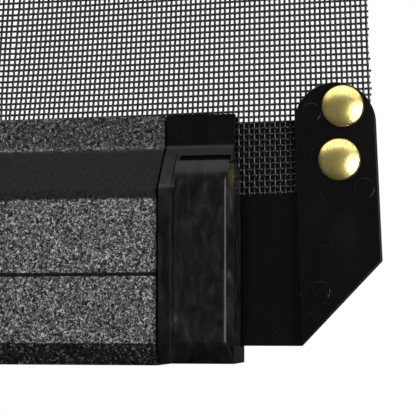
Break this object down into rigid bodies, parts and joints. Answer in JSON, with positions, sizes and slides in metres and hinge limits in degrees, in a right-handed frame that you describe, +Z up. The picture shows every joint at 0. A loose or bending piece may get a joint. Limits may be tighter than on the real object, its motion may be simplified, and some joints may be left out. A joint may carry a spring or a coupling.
{
  "type": "roll-down mesh screen",
  "caption": "Roll-down mesh screen for a fireplace opening: a wall cassette with a spring roller, an open-weave black mesh, and a weighted pull bar with riveted guide tabs.",
  "frame": {"origin": "middle of the cassette's flat back face, at the wall", "axes": "+Z up; +X along the width, to the right as seen from the front; +Y into the wall, so the front faces -Y"},
  "size_m": [0.914, 0.058, 0.74],
  "materials": {
    "powder_coat": "textured black powder coat with a coarse grain",
    "black_plastic": "glossy injection-moulded black",
    "screen_mesh": "matt black coated yarn, plain open weave",
    "rivet_brass": "polished, slightly lacquered",
    "screw_steel": "zinc plated",
    "spring_steel": "oiled steel",
    "bare_aluminium": "mill finish",
    "nylon": "moulded natural nylon",
    "brush_pile": "black pile"
  },
  "bodies": {
    "cassette": {"cassette_back": "powder_coat", "cassette_front": "powder_coat", "end_plate_left": "black_plastic", "end_plate_right": "black_plastic", "end_plate_screw_left_upper": "screw_steel", "end_plate_screw_left_lower": "screw_steel", "end_plate_screw_right_upper": "screw_steel", "end_plate_screw_right_lower": "screw_steel", "slot_brush_back": "brush_pile", "slot_brush_front": "brush_pile", "spring_arbor": "spring_steel", "arbor_collar": "nylon", "lift_spring": "spring_steel", "mesh_sheet": "screen_mesh"},
    "roller": {"roller_tube": "bare_aluminium", "roller_bush": "nylon", "spring_plug": "nylon", "roller_plug": "nylon", "roller_strip": "nylon", "mesh_roll": "screen_mesh", "idler_spring": "spring_steel"},
    "idler_pin": {"idler_pin": "spring_steel"},
    "bar": {"bar_extrusion": "powder_coat", "bar_weight": "spring_steel", "mesh_keder": "nylon", "end_cap_left": "black_plastic", "guide_plate_left": "black_plastic", "guide_tab_left": "black_plastic", "cap_screw_left": "screw_steel", "plate_screw_left": "screw_steel", "end_cap_right": "black_plastic", "guide_plate_right": "black_plastic", "guide_tab_right": "black_plastic", "cap_screw_right": "screw_steel", "plate_screw_right": "screw_steel", "rivet_cap_left_upper": "rivet_brass", "rivet_post_left_upper": "rivet_brass", "rivet_cap_left_lower": "rivet_brass", "rivet_post_left_lower": "rivet_brass", "rivet_cap_right_upper": "rivet_brass", "rivet_post_right_upper": "rivet_brass", "rivet_cap_right_lower": "rivet_brass", "rivet_post_right_lower": "rivet_brass"}
  },
  "joints": [
    {"name": "bar_slide", "type": "slide", "parent": "cassette", "child": "bar", "axis": [0, 0, 1], "range_m": [0, 0.6], "deforming": ["mesh_sheet"]},
    {"name": "roller_turn", "type": "hinge", "parent": "cassette", "child": "roller", "pos_m": [0, -0.032, 0], "axis": [1, 0, 0], "range_deg": [0, 1725]},
    {"name": "idler_pin_push", "type": "slide", "parent": "roller", "child": "idler_pin", "axis": [-1, 0, 0], "range_m": [0, 0.007], "stiffness_N_per_m": 300, "springref_m": -0.004, "deforming": ["idler_spring"]}
  ],
  "couplings": [
    {"joint": "roller_turn", "follows": "bar_slide", "rad_per_m": 50}
  ]
}
